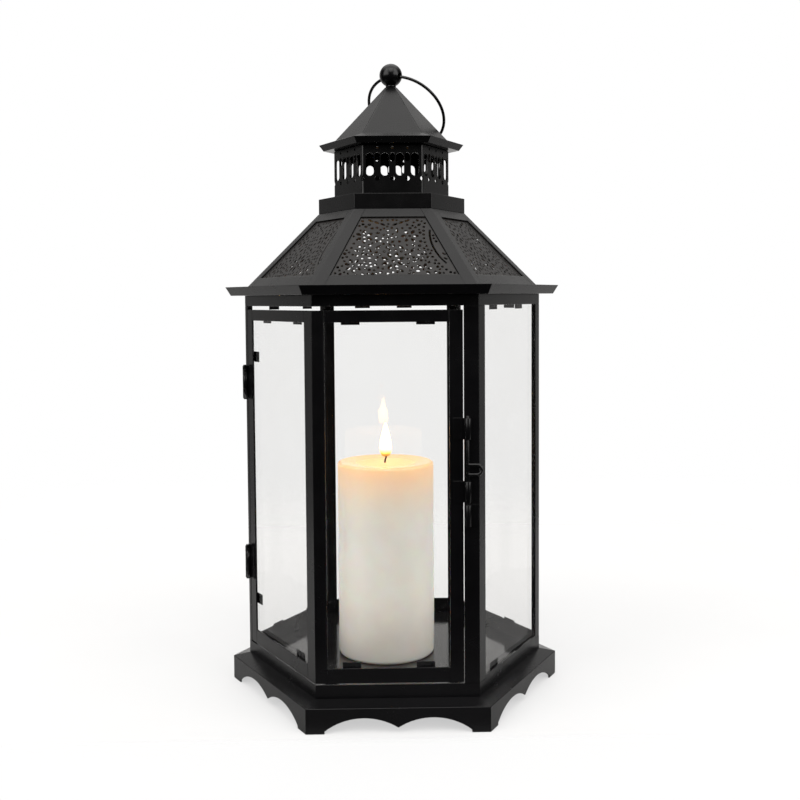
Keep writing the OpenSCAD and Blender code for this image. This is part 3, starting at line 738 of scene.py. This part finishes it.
def add_candle(materials):
    low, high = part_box("candle_wax")
    radius = (high[0] - low[0]) / 2
    centre = ((low[0] + high[0]) / 2, (low[1] + high[1]) / 2)
    edge, rim = 2.5 * MM, 2.2 * MM
    bottom, top = low[2], high[2]
    rows = 26
    profile = [(0.0, bottom), (radius * 0.5, bottom)]
    profile += arc_points(radius - edge, bottom + edge, edge, -90, 0, 5)
    side_low, side_high = bottom + edge, top - rim
    profile += [(radius, side_low + (side_high - side_low) * i / rows) for i in range(1, rows)]
    profile += arc_points(radius - rim, top - rim, rim, 0, 90, 7)
    melted = (
        (33, 0.12), (30, 0.4), (26, 0.9), (22, 1.4), (18, 1.75),
        (13, 1.9), (8, 1.9), (4, 1.8), (2, 1.5), (0, 1.2),
    )
    profile += [(r * MM, top - depth * MM) for r, depth in melted]
    wax = revolve("pillar_candle", profile, centre, wobble=0.35 * MM)
    wax.data.materials.append(materials["wax"])
    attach(wax, "candle")
    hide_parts("candle_wax")

    wick_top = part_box("candle_wick")[1][2]
    path = bpy.data.curves.new("wick", "CURVE")
    path.dimensions = "3D"
    path.bevel_depth = 0.75 * MM
    path.bevel_resolution = 3
    path.use_fill_caps = True
    spline = path.splines.new("BEZIER")
    spline.bezier_points.add(2)
    bend = 0.9 * MM
    heights = (top - 5 * MM, wick_top - 4 * MM, wick_top - 0.8 * MM)
    for point, height, lean in zip(spline.bezier_points, heights, (0.0, -0.2, 1.0)):
        point.co = (centre[0] + bend * lean, centre[1], height)
        point.handle_left_type = point.handle_right_type = "AUTO"
    spline.bezier_points[2].radius = 0.8
    holder = link("wick_path", path)
    mesh = bpy.data.meshes.new_from_object(holder.evaluated_get(bpy.context.evaluated_depsgraph_get()))
    bpy.data.objects.remove(holder)
    wick = link("braided_wick", mesh)
    wick.data.materials.clear()
    wick.data.materials.append(materials["wick"])
    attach(wick, "candle")
    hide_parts("candle_wick")

    flame_low = wick_top - 1.5 * MM
    flame_h, flame_r = 29 * MM, 5.06 * MM
    profile = [(0.0, flame_low)]
    steps = 22
    for i in range(1, steps):
        t = i / steps
        swell = math.sin(math.pi * t ** 0.55) ** 0.8 * (1 - 0.25 * t)
        profile.append((flame_r * swell, flame_low + flame_h * t))
    profile.append((0.0, flame_low + flame_h))
    flame = revolve("flame", profile, (centre[0] + 0.3 * MM, centre[1]), segments=40)
    flame.data.materials.append(flame_glow("flame_glow", flame_low, flame_low + flame_h))
    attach(flame, "candle")
    flame.visible_shadow = False

    data = bpy.data.lights.new("flame_light", "POINT")
    data.energy = 0.008
    data.color = (1.0, 0.5, 0.14)
    data.shadow_soft_size = 5 * MM
    light = bpy.data.objects.new("flame_light", data)
    light.location = (centre[0], centre[1], flame_low + flame_h * 0.5)
    bpy.context.scene.collection.objects.link(light)


# ---------------------------------------------------------------- frame nodes

def dress_frame(materials):
    """Gives every carried-over CAD node its material, clean flat faces and small rounded edges."""
    slots = {part["node"]: part["material_slot"] for part in frame["record"]["subparts"]}
    fine = {"fixed_clips", "door_clips", "finial_nut", "hinge_leaves_door", "hinge_leaves_post", "hinge_pins"}
    for name, obj in frame["nodes"].items():
        material = materials[slots[name]]
        if not obj.data.materials:
            obj.data.materials.append(material)
        for socket in obj.material_slots:
            socket.material = material
        weld = obj.modifiers.new("weld", "WELD")
        weld.merge_threshold = 0.002 * MM
        flat = obj.modifiers.new("flat", "DECIMATE")
        flat.decimate_type = "DISSOLVE"
        flat.angle_limit = math.radians(0.5)
        soften = obj.modifiers.new("edges", "BEVEL")
        soften.width = (0.12 if name in fine else 0.35) * MM
        soften.segments = 2
        soften.limit_method = "ANGLE"
        soften.angle_limit = math.radians(28)
        soften.harden_normals = True
        soften.use_clamp_overlap = True


def main():
    scene = bpy.context.scene
    scene.view_settings.view_transform = "Standard"
    add_camera()
    add_world()
    add_floor()
    wax_low, wax_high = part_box("candle_wax")
    materials = {
        "black_metal": painted_metal("black_metal", 0.0016, 0.24, warmth=(0.98, 0.94, 1.15), specular=0.28),
        "roof_metal": painted_metal("roof_metal", 0.0014, 0.25, warmth=(1.0, 0.98, 1.08)),
        "pierced_metal": painted_metal("pierced_metal", 0.0075, 0.36, warmth=(1.15, 1.0, 0.92), bump=0.2),
        "black_wire": painted_metal("black_wire", 0.002, 0.2, bump=0.08),
        "floor_gloss": painted_metal("floor_gloss", 0.005, 0.1, fleck=0.2, bump=0.03, specular=0.9),
        "plain_steel": plain_steel("plain_steel"),
        "glass": window_glass("window_glass"),
        "wax": candle_wax("candle_wax", wax_low[2], wax_high[2], 55 * MM),
        "wick": charred_wick("charred_wick"),
    }
    dress_frame(materials)
    add_filigree(materials)
    add_cupola_wall(materials)
    add_candle(materials)


main()
